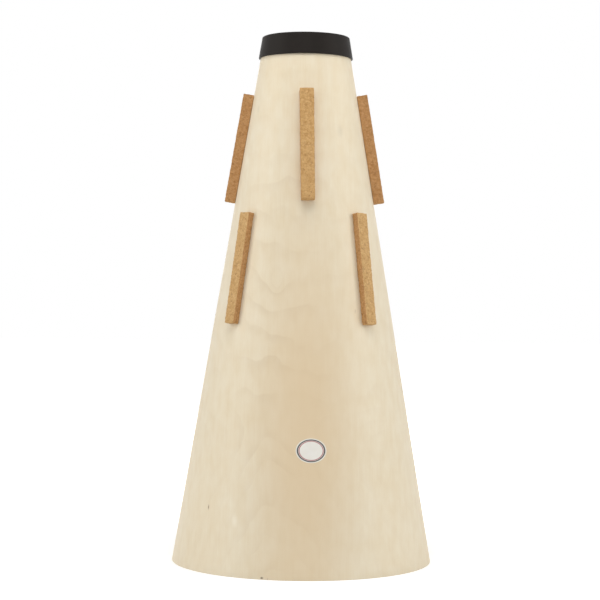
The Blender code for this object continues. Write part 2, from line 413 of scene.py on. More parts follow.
def rotary_cut_birch(name, pale=BIRCH_PALE, warm=BIRCH_WARM, shift=(0.0, 0.0, 0.0), eye=(), marks=()):
    """Birch veneer. A shift picks another part of the figure, but not of the eye and the marks."""
    material, shader = finish(name, IOR=1.5, Coat_Weight=0.10, Coat_Roughness=0.45)
    tree = material.node_tree
    grain = add(tree, "Attribute", {}, attribute_name="grain").outputs["Vector"]
    place = add(tree, "VectorMath", {0: grain, 1: shift}, operation="ADD")

    # Noise lies about 0.5, so the tone does too
    tone = 0.5 - sum(share for *_, share in BIRCH_PATTERNS) / 2
    for *size_and_detail, share in BIRCH_PATTERNS:
        pattern = grained(tree, place, *size_and_detail)
        tone = add(tree, "Math", {0: pattern, 1: share, 2: tone}, operation="MULTIPLY_ADD")
    fibres = pattern
    colour = add(tree, "Mix", {"Factor": tone, "A": linear(warm), "B": linear(pale)}, data_type="RGBA")
    late_wood = year_rings(tree, place, grain, eye)
    colour = {"Factor": late_wood, "A": colour, "B": linear(BIRCH_RING)}
    colour = add(tree, "Mix", colour, data_type="RGBA")

    cell = add(tree, "TexVoronoi", {"Vector": stretched(tree, place, *FLECK_CELL), "Scale": 1.0})
    fleck = {"Value": cell, "From Min": FLECK_CORE, "From Max": FLECK_RIM}
    fleck = add(tree, "MapRange", {**fleck, "To Min": FLECK_STRENGTH, "To Max": 0.0})
    some = add(tree, "Math", {0: cell.outputs["Color"], 1: FLECK_BELOW}, operation="LESS_THAN")
    fleck = add(tree, "Math", {0: fleck, 1: some}, operation="MULTIPLY")
    colour = {"Factor": fleck, "A": colour, "B": linear(BIRCH_FLECK)}
    colour = add(tree, "Mix", colour, data_type="RGBA")

    for shade, *spot, strength in marks:
        mark = near(tree, grain, *spot)
        mark = add(tree, "Math", {0: mark, 1: strength}, operation="MULTIPLY")
        colour = {"Factor": mark, "A": colour, "B": linear(shade)}
        colour = add(tree, "Mix", colour, data_type="RGBA")

    low, high = BIRCH_ROUGHNESS
    rough = add(tree, "MapRange", {"Value": fibres, "To Min": low, "To Max": high})
    bump = add(tree, "Bump", {"Height": fibres, "Distance": 0.03 * MM, "Strength": 0.6})
    wire(shader, {"Base Color": colour, "Roughness": rough, "Normal": bump})
    return material


# The cut edge of the plywood: two pale outer plies seen end on, a browner middle ply that runs
# round the rim, and a thin dark line of glue on each side of it.
EDGE_PALE = "D9C39A"
EDGE_CORE = "B99362"
EDGE_GLUE = "7B5B38"
EDGE_FIBRES_PER_MM = 1.1
GLUE_LINE = 0.12
GLUE_LINE_STRENGTH = 0.7


def plywood_edge(name, thickness, plies):
    """The cut edge of a sheet. The glue lies between its plies, and so not on its two faces."""
    material, shader = finish(name, Roughness=0.75, IOR=1.5)
    tree = material.node_tree
    grain = add(tree, "Attribute", {}, attribute_name="grain").outputs["Vector"]
    split = add(tree, "SeparateXYZ", {"Vector": grain})
    plies_per_mm = plies * MM / thickness
    ply = add(tree, "Math", {0: split.outputs["Z"], 1: plies_per_mm}, operation="MULTIPLY")
    odd = add(tree, "Math", {0: ply, 1: 2.0}, operation="MODULO")
    odd = add(tree, "Math", {0: odd, 1: 1.0}, operation="GREATER_THAN")
    fibre = add(tree, "TexNoise", {"Vector": grain, "Scale": EDGE_FIBRES_PER_MM, "Detail": 3.0})
    pale = {"Factor": fibre, "A": linear(EDGE_CORE), "B": linear(EDGE_PALE)}
    pale = add(tree, "Mix", pale, data_type="RGBA")
    colour = {"Factor": odd, "A": pale, "B": linear(EDGE_CORE)}
    colour = add(tree, "Mix", colour, data_type="RGBA")
    joint = add(tree, "Math", {0: ply, 1: 0.5}, operation="PINGPONG")
    half_line = GLUE_LINE * plies_per_mm / 2
    line = {"Value": joint, "From Min": half_line, "From Max": 2 * half_line}
    line = add(tree, "MapRange", {**line, "To Min": GLUE_LINE_STRENGTH, "To Max": 0.0})
    inside = add(tree, "Math", {0: ply, 1: plies / 2, 2: plies / 2 - 0.5}, operation="COMPARE")
    line = add(tree, "Math", {0: line, 1: inside}, operation="MULTIPLY")
    colour = {"Factor": line, "A": colour, "B": linear(EDGE_GLUE)}
    colour = add(tree, "Mix", colour, data_type="RGBA")
    bump = add(tree, "Bump", {"Height": fibre, "Distance": 0.08 * MM, "Strength": 0.6})
    wire(shader, {"Base Color": colour, "Normal": bump})
    return material


# Among the outer veneer's marks is the band of painted shade up its front
outer_veneer = rotary_cut_birch("lacquered_birch_veneer", eye=EYE, marks=(FRONT_PAINTED_SHADE, *MARKS))
inner_veneer = rotary_cut_birch("inner_birch_veneer", "E6D6B4", "CDB283", shift=(430.0, 610.0, 0.0))
sheet_edge = plywood_edge("birch_plywood_edge", WALL, SHEET_PLIES)
piece(
    "cone_shell_rolled_sheet",
    rolled_sheet(),
    [outer_veneer, inner_veneer, sheet_edge],
    stands_for="cone_shell",
)

# The strip behind the seam
# A thin strip of plain birch, glued along the inside over the butt joint, from the hoop up to the
# rubber ring. It was cut with a knife, so its edges wander a little.

GLUE_GAP = 0.0003
SEAM_STRIP_WIDTH = 0.020
SEAM_STRIP_THICKNESS = 0.0015
SEAM_STRIP_EASE = 0.0004
SEAM_STRIP_FACE_EASE = 0.0001
SEAM_STRIP_WANDER = 0.0004
SEAM_STRIP_WANDER_LENGTH = 0.09
SEAM_STRIP_COLUMNS = 13


def seam_strip_sheet():
    low, high = (corner.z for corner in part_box("seam_strip"))
    face = WALL
    back = face + GLUE_GAP + SEAM_STRIP_THICKNESS
    outline = rounded(
        [
            (back, high, SEAM_STRIP_EASE),
            (back, low, SEAM_STRIP_EASE),
            (face, low, SEAM_STRIP_FACE_EASE),
            (face, high, SEAM_STRIP_FACE_EASE),
        ]
    )
    outline = divided(outline, SHEET_ROW)
    half = SEAM_STRIP_WIDTH / 2
    columns = []
    places = []
    for column, across in enumerate(spaced(-half, half, SEAM_STRIP_COLUMNS)):
        eased = column in (0, SEAM_STRIP_COLUMNS - 1)
        points = []
        for inset, height in outline:
            place = Vector((height / SEAM_STRIP_WANDER_LENGTH, across / half, 4.0))
            side = across + SEAM_STRIP_WANDER * noise.noise(place)
            deep = min(inset, back - SEAM_STRIP_EASE) if eased else inset
            turn = math.pi + side / radius_at(height)
            points.append(position(turn, height, deep + dent(turn - math.tau * (side > 0), height)))
            places.append(Vector((side, height, inset)))
        columns.append(points)
    mesh = swept("seam_strip_sheet", columns, whole=False)
    note_grain(mesh, places)
    return mesh


plain_birch = rotary_cut_birch("plain_birch_strip", "DDC9A0", "C7AC7A", shift=(910.0, 240.0, 0.0))
piece("seam_strip_birch", seam_strip_sheet(), [plain_birch], stands_for="seam_strip")

# The hoop in the wide end
# A strip of beech, steamed and bent into a hoop, its ends scarfed and glued. It is glued round the
# inside of the wall, and the disc seats against its lower edge.

HOOP_WIDTH = 0.0060
HOOP_ROUND = 0.0012
HOOP_FOOT_ROUND = 0.0005
HOOP_BACK_ROUND = 0.0004
HOOP_ROW = 0.002
HOOP_COLUMNS = 256
HOOP_SCARF_TURN = 2.2
HOOP_SCARF_RUN = 0.045
HOOP_SCARF_STEP = 0.0003


def bent_hoop():
    low, high = (corner.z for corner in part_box("base_hoop"))
    face = WALL + GLUE_GAP
    inner = face + HOOP_WIDTH
    outline = rounded(
        [
            (inner, high, HOOP_ROUND),
            (inner, low, HOOP_FOOT_ROUND),
            (face, low, 0.0),
            (face, high, HOOP_BACK_ROUND),
        ]
    )
    outline = divided(outline, HOOP_ROW)
    columns = []
    places = []
    for turn in all_round(HOOP_COLUMNS):
        past = (turn - HOOP_SCARF_TURN) * radius_at(low)
        step = HOOP_SCARF_STEP * max(0.0, 1 - past / HOOP_SCARF_RUN) if past >= 0 else 0.0
        points = []
        for inset, height in outline:
            deep = inset + step * (inset - face) / HOOP_WIDTH
            points.append(position(turn, height, deep))
            places.append(Vector((height, turn * radius_at(height, inset), inset)))
        columns.append(points)
    mesh = swept("base_hoop_bent", columns)
    note_grain(mesh, places)
    return mesh


# Bare beech, bent with its grain round the hoop: pinkish brown, with short dark rays. The rays are
# 0.3 mm wide on real beech, and are drawn 0.8 mm wide.
BEECH_PALE = "D6B98C"
BEECH_DARK = "B78F60"
BEECH_RAY = "8F6238"
# Size across the grain and along it, in millimetres, and detail
BEECH_FIBRE = (2.0, 60.0, 4.0)
# One place for a ray, across and along, and a ray's core and its rim as shares of that place
RAY_CELL = (1.6, 5.0)
RAY_CORE = 0.15
RAY_RIM = 0.30
RAY_STRENGTH = 0.55


def steam_bent_beech(name):
    material, shader = finish(name, Roughness=0.6, IOR=1.5)
    tree = material.node_tree
    grain = add(tree, "Attribute", {}, attribute_name="grain").outputs["Vector"]
    fibre = grained(tree, grain, *BEECH_FIBRE)
    colour = {"Factor": fibre, "A": linear(BEECH_DARK), "B": linear(BEECH_PALE)}
    colour = add(tree, "Mix", colour, data_type="RGBA")
    cell = add(tree, "TexVoronoi", {"Vector": stretched(tree, grain, *RAY_CELL), "Scale": 1.0})
    ray = {"Value": cell, "From Min": RAY_CORE, "From Max": RAY_RIM}
    ray = add(tree, "MapRange", {**ray, "To Min": RAY_STRENGTH, "To Max": 0.0})
    colour = {"Factor": ray, "A": colour, "B": linear(BEECH_RAY)}
    colour = add(tree, "Mix", colour, data_type="RGBA")
    bump = add(tree, "Bump", {"Height": fibre, "Distance": 0.05 * MM, "Strength": 0.6})
    wire(shader, {"Base Color": colour, "Normal": bump})
    return material


beech = steam_bent_beech("steam_bent_beech")
piece("base_hoop_bent_beech", bent_hoop(), [beech], stands_for="base_hoop")

# The disc that closes the wide end
# Birch plywood, three plies, routed round with its edge bevelled to the slope of the wall, pushed
# up against the hoop and glued in, 3 mm above the rim.

DISC_COLUMNS = 256
DISC_EASE = 0.0005
DISC_THICKNESS = 0.0040
DISC_PLIES = 3


def routed_disc():
    low, high = (corner.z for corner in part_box("base_disc"))
    form = bmesh.new()
    bmesh.ops.create_cone(
        form,
        cap_ends=True,
        segments=DISC_COLUMNS,
        radius1=radius_at(low, WALL + GLUE_GAP),
        radius2=radius_at(high, WALL + GLUE_GAP),
        depth=high - low,
        matrix=Matrix.Translation((0.0, 0.0, (low + high) / 2)),
    )
    rims = [edge for edge in form.edges if abs(edge.verts[0].co.z - edge.verts[1].co.z) < MM / 10]
    bmesh.ops.bevel(form, geom=rims, offset=DISC_EASE, segments=2, affect="EDGES", profile=0.5)
    mesh = bpy.data.meshes.new("base_disc_routed")
    form.to_mesh(mesh)
    form.free()
    note_grain(mesh, [(v.co.x, v.co.y, v.co.z - low) for v in mesh.vertices])
    veneer, cut = range(2)
    for face in mesh.polygons:
        face.material_index = cut if abs(face.normal.z) < 0.9 else veneer
    return mesh


disc_veneer = rotary_cut_birch("disc_birch_veneer", "E8D8B6", "CFB485", shift=(-260.0, 700.0, 0.0))
disc_edge = plywood_edge("disc_plywood_edge", DISC_THICKNESS, DISC_PLIES)
piece("base_disc_plywood", routed_disc(), [disc_veneer, disc_edge], stands_for="base_disc")

# The glue round the disc
# A bead of white wood glue that was wiped with a finger into the corner between the disc and the
# wall. It dried clear and yellowish, uneven in width.

BEAD = 0.0016
BEAD_UNEVEN = 0.45
BEAD_LENGTH = 0.018
BEAD_STEPS = 6
# The bead's corner lies this far inside the wall, and this far under the disc
BEAD_CORNER = 0.00005


def glue_bead():
    """A bead with a hollow face, down the wall and inwards along the underside of the disc."""
    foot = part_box("base_disc")[0].z
    outlines = []
    for turn in all_round(DISC_COLUMNS):
        corner = position(turn, foot - BEAD_CORNER, WALL - BEAD_CORNER)
        down = (position(turn, 0.0, WALL) - position(turn, foot, WALL)).normalized()
        inwards = Vector((-math.sin(turn), math.cos(turn), 0.0))
        lump = noise.noise(corner / BEAD_LENGTH + Vector((0.0, 0.0, 9.0)))
        reach = BEAD * (1 + BEAD_UNEVEN * lump)
        hollow = corner + (down + inwards) * reach
        arc = [corner]
        for step in range(BEAD_STEPS + 1):
            angle = math.pi / 2 * step / BEAD_STEPS
            arc.append(hollow - down * reach * math.sin(angle) - inwards * reach * math.cos(angle))
        outlines.append(arc)
    mesh = swept("glue_round_disc", outlines)
    note_grain(mesh, [v.co for v in mesh.vertices])
    return mesh


# Dried wood glue: a clear, yellowish skin, smooth enough to catch a soft gleam.
GLUE_CLEAR = "D8BC84"
GLUE_THICK = "BF9A5C"


def dried_wood_glue(name):
    material, shader = finish(name, Roughness=0.28, IOR=1.48, Subsurface_Weight=0.3)
    wire(shader, {"Subsurface Radius": (0.6 * MM, 0.5 * MM, 0.3 * MM), "Subsurface Scale": 1.0})
    tree = material.node_tree
    grain = add(tree, "Attribute", {}, attribute_name="grain").outputs["Vector"]
    lumps = add(tree, "TexNoise", {"Vector": grain, "Scale": 0.3, "Detail": 3.0})
    colour = {"Factor": lumps, "A": linear(GLUE_THICK), "B": linear(GLUE_CLEAR)}
    colour = add(tree, "Mix", colour, data_type="RGBA")
    bump = add(tree, "Bump", {"Height": lumps, "Distance": 0.15 * MM, "Strength": 0.5})
    wire(shader, {"Base Color": colour, "Normal": bump})
    return material


wood_glue = dried_wood_glue("dried_wood_glue")
piece("glue_round_disc", glue_bead(), [wood_glue])

# The rubber ring
# A moulded channel of black rubber, stretched over the narrow rim. It guards the plywood's edge and
# the bell. The mould left it dull, with rounded edges, and handling leaves a little dust on it.

RING_WALL = 0.0022
RING_INNER_WALL = 0.0018
RING_LIP = 0.0025
RING_ROUND = 0.0013
RING_FOOT_ROUND = 0.0007
RING_INNER_DEPTH = 0.013
RING_COLUMNS = 256
RING_ROW = 0.0016
RING_UNEVEN = 0.00022
RING_UNEVEN_LENGTH = 0.045


def moulded_ring():
    low, high = (corner.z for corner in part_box("end_ring"))
    outside = -GLUE_GAP - RING_WALL
    inside = WALL + GLUE_GAP + RING_INNER_WALL
    roof = high - RING_LIP
    inner_foot = high - RING_INNER_DEPTH
    outline = rounded(
        [
            (outside, high, RING_ROUND),
            (outside, low, RING_FOOT_ROUND),
            (0.0, low, 0.0),
            (0.0, roof, 0.0),
            (WALL, roof, 0.0),
            (WALL, inner_foot, 0.0),
            (inside, inner_foot, RING_FOOT_ROUND),
            (inside, high, RING_ROUND),
        ],
        steps=6,
    )
    outline = divided(outline, RING_ROW)
    columns = []
    for turn in all_round(RING_COLUMNS):
        points = []
        for inset, height in outline:
            down = (high - height) / (high - low)
            stretch = RING_UNEVEN * down * noise.noise(position(turn, height) / RING_UNEVEN_LENGTH)
            points.append(position(turn, height + stretch, inset))
        columns.append(points)
    mesh = swept("end_ring_moulded", columns)
    note_grain(mesh, [v.co for v in mesh.vertices])
    return mesh


# Black moulded rubber: never quite black, brownish grey, with a fine pebbled skin that spreads the
# light into a soft sheen, and pale dust in its hollows.
RUBBER_BLACK = "191613"
RUBBER_WORN = "25201D"
RUBBER_DUST = "7C756C"
RUBBER_ROUGHNESS = (0.42, 0.62)
# Sizes in millimetres, and a speck of dust's core and its rim as shares of its cell
WORN_PATCH = 18.0
PEBBLE = 0.7
DUST_CELL = 3.0
DUST_CORE = 0.03
DUST_RIM = 0.08
DUST_STRENGTH = 0.2


def moulded_rubber(name):
    material, shader = finish(name, IOR=1.52, Specular_IOR_Level=0.10)
    tree = material.node_tree
    grain = add(tree, "Attribute", {}, attribute_name="grain").outputs["Vector"]
    wear = add(tree, "TexNoise", {"Vector": grain, "Scale": 1 / WORN_PATCH, "Detail": 4.0})
    colour = {"Factor": wear, "A": linear(RUBBER_BLACK), "B": linear(RUBBER_WORN)}
    colour = add(tree, "Mix", colour, data_type="RGBA")
    cell = add(tree, "TexVoronoi", {"Vector": grain, "Scale": 1 / DUST_CELL})
    speck = {"Value": cell, "From Min": DUST_CORE, "From Max": DUST_RIM}
    speck = add(tree, "MapRange", {**speck, "To Min": DUST_STRENGTH, "To Max": 0.0})
    colour = {"Factor": speck, "A": colour, "B": linear(RUBBER_DUST)}
    colour = add(tree, "Mix", colour, data_type="RGBA")
    low, high = RUBBER_ROUGHNESS
    rough = add(tree, "MapRange", {"Value": wear, "To Min": low, "To Max": high})
    pebbles = add(tree, "TexNoise", {"Vector": grain, "Scale": 1 / PEBBLE, "Detail": 2.0})
    bump = add(tree, "Bump", {"Height": pebbles, "Distance": 0.06 * MM, "Strength": 0.7})
    wire(shader, {"Base Color": colour, "Roughness": rough, "Normal": bump})
    return material


rubber = moulded_rubber("moulded_black_rubber")
piece("end_ring_rubber", moulded_ring(), [rubber], stands_for="end_ring")

# The cork strips
# Eight strips sawn from a block of agglomerated cork and glued on by hand: an upper row of four
# thick ones and a lower row of four thinner ones. Their undersides are sanded to the cone.

CORK_WIDTH = 0.0175
CORK_LENGTH = 0.1425
CORK_EDGE = 0.0006
CORK_STEP = 0.0011
UPPER_CORK_THICKNESS = 0.0136
LOWER_CORK_THICKNESS = 0.0085
GRANULE = 0.0030
GRANULE_GROOVE = 0.00008
GRANULE_STEP = 0.00004
TORN_SHARE = 0.05
TORN_DEPTH = 0.00035
# How far in from a granule's edge a groove and a pit's slope reach, as shares of a granule
GROOVE_REACH = 0.25
PIT_REACH = 0.2
CHIP_DEPTH = 0.0005
CHIP_LENGTH = 0.0045
# The noise value above which an edge is chipped
CHIPPED_ABOVE = 0.15
# How far apart in the block of cork one strip and the next are cut
BLOCK_STEP = (0.31, 0.17, 0.0)
# Each strip's tilt, in degrees, its top to its own right, and how much wider it was cut on its left
# and on its right, at its top and at its bottom, in metres
CORK_STRIPS = {
    "upper_cork_front": (-0.6, (0.0013, 0.0005), (-0.0007, -0.0006)),
    "upper_cork_right": (0.0, (0.0, 0.0003), (0.0004, 0.0)),
    "upper_cork_back": (0.0, (0.0004, 0.0), (0.0, 0.0004)),
    "upper_cork_left": (0.0, (0.0003, 0.0), (0.0, 0.0005)),
    "lower_cork_front_left": (0.2, (0.0, 0.0), (0.0003, 0.0)),
    "lower_cork_front_right": (1.9, (0.0002, 0.0003), (0.0, 0.0)),
    "lower_cork_back_right": (0.0, (0.0, 0.0003), (0.0, 0.0)),
    "lower_cork_back_left": (0.0, (0.0, 0.0), (0.0003, 0.0)),
}


def thickness_of(name):
    return UPPER_CORK_THICKNESS if name.startswith("upper") else LOWER_CORK_THICKNESS


def cork_place(name, tilt):
    """The height of the middle of a strip's underside, and a matrix there: Z up the wall, -Y outwards."""
    low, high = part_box(name)
    middle = (low + high) / 2
    turn = math.atan2(middle.x, -middle.y)
    height = middle.z - thickness_of(name) / 2 * math.sin(LEAN)
    lean = Matrix.Rotation(-LEAN, 4, "X") @ Matrix.Rotation(math.radians(tilt), 4, "Y")
    return height, Matrix.Translation(position(turn, height)) @ Matrix.Rotation(turn, 4, "Z") @ lean


def lattice(sides):
    """A block from 0 to 1 along each axis, as a bmesh divided into that many parts along each."""
    form = bmesh.new()
    bmesh.ops.create_cube(form, size=1.0, matrix=Matrix.Translation((0.5, 0.5, 0.5)))
    for axis, parts in enumerate(sides):
        edges = [e for e in form.edges if abs((e.verts[0].co - e.verts[1].co)[axis]) > 0.5]
        bmesh.ops.subdivide_edges(form, edges=edges, cuts=parts - 1, use_grid_fill=True)
    return form


def torn(point, seed):
    """How far the cut face lies under its plane: grooves round the granules, and torn-out ones."""
    distances, centres = noise.voronoi((point + seed) / GRANULE)
    from_edge = distances[1] - distances[0]
    groove = GRANULE_GROOVE * max(0.0, 1 - from_edge / GROOVE_REACH)
    # The two factors give each granule two random values that have nothing to do with each other
    is_torn = noise.cell(centres[0] * 37.0) < TORN_SHARE
    step = GRANULE_STEP * noise.cell(centres[0] * 11.0)
    pit = TORN_DEPTH * min(1.0, from_edge / PIT_REACH) if is_torn else 0.0
    return groove + pit + step


def sawn_strip(name, tilt, left, right, seed):
    thickness = thickness_of(name)
    height, matrix = cork_place(name, tilt)
    size = Vector((CORK_WIDTH, thickness, CORK_LENGTH))
    form = lattice([round(side / CORK_STEP) for side in size])
    inner = size / 2 - Vector((CORK_EDGE,) * 3)
    places = []
    for vertex in form.verts:
        flat = Vector([(part - 0.5) * side for part, side in zip(vertex.co, size)])
        core = Vector([max(-reach, min(reach, part)) for part, reach in zip(flat, inner)])
        out = (flat - core).normalized() if (flat - core).length > 1e-7 else Vector()
        corners = sorted(abs(part) - reach for part, reach in zip(flat, inner))
        edge = max(0.0, corners[1]) / CORK_EDGE
        chip = max(0.0, noise.noise((flat + seed) / CHIP_LENGTH) - CHIPPED_ABOVE)
        chip = CHIP_DEPTH * edge * chip
        point = core + out * CORK_EDGE - out * (torn(flat, seed) + chip)
        foot = flat.y / thickness + 0.5
        up = flat.z / CORK_LENGTH + 0.5
        top, bottom = left if flat.x < 0 else right
        point.x += (bottom + (top - bottom) * up) * flat.x / (CORK_WIDTH / 2)
        curve = radius_at(height + flat.z * math.cos(LEAN)) / math.cos(LEAN)
        sag = curve - math.sqrt(curve**2 - flat.x**2)
        point.y = -thickness / 2 + point.y + foot * sag
        vertex.co = matrix @ point
        places.append(flat + seed)
    mesh = bpy.data.meshes.new(f"{name}_sawn")
    form.to_mesh(mesh)
    form.free()
    note_grain(mesh, places)
    across = matrix.to_3x3() @ Vector((1.0, 0.0, 0.0))
    # The sawn sides take the cork with painted shade
    sanded, sawn = range(2)
    for face in mesh.polygons:
        face.material_index = sawn if abs(face.normal.dot(across)) > 0.7 else sanded
    return mesh


# Agglomerated cork: granules of bark, 1 to 3 mm, pressed together with a binder. Each granule has
# its own tan, a few are dark bark, and the cut is matt, with grooves and torn pits. The tints make
# the thick strips browner than the thin ones. The side tints paint shade on the sawn sides, which
# face away from the lamps, so that they show browner than the sanded faces.
CORK_PALE = "D9B582"
CORK_TAN = "C79F69"
CORK_DEEP = "AF844E"
CORK_BARK = "865D35"
THICK_TINT = "FCF8F2"
THIN_TINT = "FFFFFF"
THICK_SIDE_PAINTED_SHADE = "EADBD6"
THIN_SIDE_PAINTED_SHADE = "F2E3DC"
COARSE_GRANULE = 2.6
FINE_GRANULE = 1.2
FINE_SHARE = 0.5
# A granule's random values run from 0 to 1. It turns deep tan above DEEP_ABOVE, and it turns to bark
# over the range BARK_BETWEEN.
DEEP_ABOVE = 0.60
DEEP_STRENGTH = 0.8
BARK_BETWEEN = (0.92, 0.97)
BARK_STRENGTH = 0.6
# In millimetres: how far the outlines of the granules ripple, and the size of the crumbs
RIPPLE = 0.9
CRUMB = 0.8
# The groove round a granule: its core and its rim, as shares of the granule, and its strength
GROOVE_CORE = 0.02
GROOVE_RIM = 0.10
GROOVE_STRENGTH = 0.30


def granules(tree, place, size):
    """The colours of granules of that size, in millimetres."""
    granule = add(tree, "TexVoronoi", {"Vector": place, "Scale": 1 / size})
    chance = add(tree, "SeparateColor", {"Color": granule.outputs["Color"]}).outputs
    own = {"Factor": chance["Red"], "A": linear(CORK_TAN), "B": linear(CORK_PALE)}
    own = add(tree, "Mix", own, data_type="RGBA")
    deep = {"Value": chance["Green"], "From Min": DEEP_ABOVE, "To Max": DEEP_STRENGTH}
    deep = add(tree, "MapRange", deep)
    own = add(tree, "Mix", {"Factor": deep, "A": own, "B": linear(CORK_DEEP)}, data_type="RGBA")
    low, high = BARK_BETWEEN
    bark = {"Value": chance["Blue"], "From Min": low, "From Max": high, "To Max": BARK_STRENGTH}
    bark = add(tree, "MapRange", bark)
    return add(tree, "Mix", {"Factor": bark, "A": own, "B": linear(CORK_BARK)}, data_type="RGBA")


def agglomerated_cork(name, tint_and_painted_shade):
    material, shader = finish(name, Roughness=0.88, IOR=1.45, Specular_IOR_Level=0.3)
    tree = material.node_tree
    grain = add(tree, "Attribute", {}, attribute_name="grain").outputs["Vector"]
    ripple = add(tree, "TexNoise", {"Vector": grain, "Scale": 0.5, "Detail": 2.0}).outputs["Color"]
    ripple = {0: ripple, 1: (RIPPLE, RIPPLE, RIPPLE), 2: grain}
    ripple = add(tree, "VectorMath", ripple, operation="MULTIPLY_ADD")
    coarse = granules(tree, ripple, COARSE_GRANULE)
    fine = granules(tree, ripple, FINE_GRANULE)
    colour = add(tree, "Mix", {"Factor": FINE_SHARE, "A": coarse, "B": fine}, data_type="RGBA")
    edge = {"Vector": ripple, "Scale": 1 / COARSE_GRANULE}
    edge = add(tree, "TexVoronoi", edge, feature="DISTANCE_TO_EDGE")
    groove = {"Value": edge, "From Min": GROOVE_CORE, "From Max": GROOVE_RIM}
    groove = add(tree, "MapRange", {**groove, "To Min": GROOVE_STRENGTH, "To Max": 0.0})
    colour = {"Factor": groove, "A": colour, "B": linear(CORK_DEEP)}
    colour = add(tree, "Mix", colour, data_type="RGBA")
    colour = {"Factor": 1.0, "A": colour, "B": linear(tint_and_painted_shade)}
    colour = add(tree, "Mix", colour, data_type="RGBA", blend_type="MULTIPLY")
    crumbs = add(tree, "TexNoise", {"Vector": grain, "Scale": 1 / CRUMB, "Detail": 3.0})
    height = add(tree, "Math", {0: edge, 1: crumbs}, operation="ADD")
    bump = add(tree, "Bump", {"Height": height, "Distance": 0.12 * MM, "Strength": 0.6})
    wire(shader, {"Base Color": colour, "Normal": bump})
    return material


# The second cork of each pair paints shade on the strips' sawn sides
thick_cork = [
    agglomerated_cork("thick_cork_sanded", THICK_TINT),
    agglomerated_cork("thick_cork_sides_painted_shade", THICK_SIDE_PAINTED_SHADE),
]
thin_cork = [
    agglomerated_cork("thin_cork_sanded", THIN_TINT),
    agglomerated_cork("thin_cork_sides_painted_shade", THIN_SIDE_PAINTED_SHADE),
]
for number, (name, (tilt, left, right)) in enumerate(CORK_STRIPS.items()):
    cork = thick_cork if name.startswith("upper") else thin_cork
    seed = Vector([step * number for step in BLOCK_STEP])
    piece(f"{name}_sawn", sawn_strip(name, tilt, left, right, seed), cork, name)

# The label
# A plain oval sticker of white vinyl, pressed onto the wood below the strips. Two thin lines are
# printed inside its edge.

LABEL_WIDTH = 0.038
LABEL_HEIGHT = 0.030
LABEL_THICKNESS = 0.00022
LABEL_CENTRE_HEIGHT = 0.155
LABEL_TURN = math.radians(4.5)
LABEL_STEPS = 96
# The upright part of the edge, as a share of the thickness, and the rings of the mesh inside it, as
# shares of the oval
LABEL_EDGE = 0.6
LABEL_RINGS = (0.985, 0.94, 0.85, 0.7, 0.5, 0.25)


def label_sticker():
    """Rings from the wood, over the sticker's edge, to its centre."""
    rings = [(1.0, 0.0), (1.0, LABEL_THICKNESS * LABEL_EDGE)]
    rings += [(share, LABEL_THICKNESS) for share in LABEL_RINGS]
    points = []
    places = []
    for share, lift in rings:
        for step in range(LABEL_STEPS):
            angle = math.tau * step / LABEL_STEPS
            across = share * LABEL_WIDTH / 2 * math.cos(angle)
            up = share * LABEL_HEIGHT / 2 * math.sin(angle)
            height = LABEL_CENTRE_HEIGHT + up * math.cos(LEAN)
            turn = LABEL_TURN + across / radius_at(height)
            points.append(position(turn, height, dent(turn, height) - lift))
            places.append(Vector((across, up, 0.0)))
    height = LABEL_CENTRE_HEIGHT
    points.append(position(LABEL_TURN, height, dent(LABEL_TURN, height) - LABEL_THICKNESS))
    places.append(Vector())
    faces = []
    for ring in range(len(rings) - 1):
        for step in range(LABEL_STEPS):
            here = ring * LABEL_STEPS
            after = (step + 1) % LABEL_STEPS
            inner = here + LABEL_STEPS
            faces.append((here + step, here + after, inner + after, inner + step))
    last = (len(rings) - 1) * LABEL_STEPS
    for step in range(LABEL_STEPS):
        faces.append((last + step, last + (step + 1) % LABEL_STEPS, len(points) - 1))
    faces.append(tuple(reversed(range(LABEL_STEPS))))
    mesh = closed_mesh("label_sticker", points, faces)
    note_grain(mesh, places)
    return mesh


# White vinyl, printed: smooth, with a soft gloss, very slightly yellowed, the ink a little uneven.
VINYL_WHITE = "F3F1EC"
VINYL_AGED = "EAE6DC"
INK_BLACK = "2A2726"
INK_RED = "A84A50"
# Each printed line's middle and half its width, as shares of the oval, and its ink
PRINTED_LINES = ((0.88, 0.040, INK_BLACK), (0.78, 0.022, INK_RED))
INK_SOFT = 0.012
INK_STRENGTH = 0.95
# In millimetres
AGED_PATCH = 9.0


def printed_vinyl(name):
    material, shader = finish(name, Roughness=0.35, IOR=1.5, Coat_Weight=0.2, Coat_Roughness=0.25)
    tree = material.node_tree
    grain = add(tree, "Attribute", {}, attribute_name="grain").outputs["Vector"]
    cloud = add(tree, "TexNoise", {"Vector": grain, "Scale": 1 / AGED_PATCH, "Detail": 3.0})
    colour = {"Factor": cloud, "A": linear(VINYL_AGED), "B": linear(VINYL_WHITE)}
    colour = add(tree, "Mix", colour, data_type="RGBA")
    scale = (2 * MM / LABEL_WIDTH, 2 * MM / LABEL_HEIGHT, 0.0)
    oval = add(tree, "VectorMath", {0: grain, 1: scale}, operation="MULTIPLY")
    oval = add(tree, "VectorMath", {0: oval}, operation="LENGTH")
    for line, half, ink in PRINTED_LINES:
        off = add(tree, "Math", {0: oval, 1: line}, operation="SUBTRACT")
        off = add(tree, "Math", {0: off}, operation="ABSOLUTE")
        printed = {"Value": off, "From Min": half, "From Max": half + INK_SOFT}
        printed = add(tree, "MapRange", {**printed, "To Min": INK_STRENGTH, "To Max": 0.0})
        colour = {"Factor": printed, "A": colour, "B": linear(ink)}
        colour = add(tree, "Mix", colour, data_type="RGBA")
    bump = add(tree, "Bump", {"Height": cloud, "Distance": 0.05 * MM, "Strength": 0.5})
    wire(shader, {"Base Color": colour, "Normal": bump})
    return material


vinyl = printed_vinyl("printed_white_vinyl")
piece("label_sticker", label_sticker(), [vinyl], stands_for="label")

# The studio
# A pale floor, soft boxes on both sides, behind and overhead, and pale surroundings. To the camera
# and in reflections the surroundings are white.

FLOOR_REACH = 9.0
FLOOR_PALE = "E9E9E9"
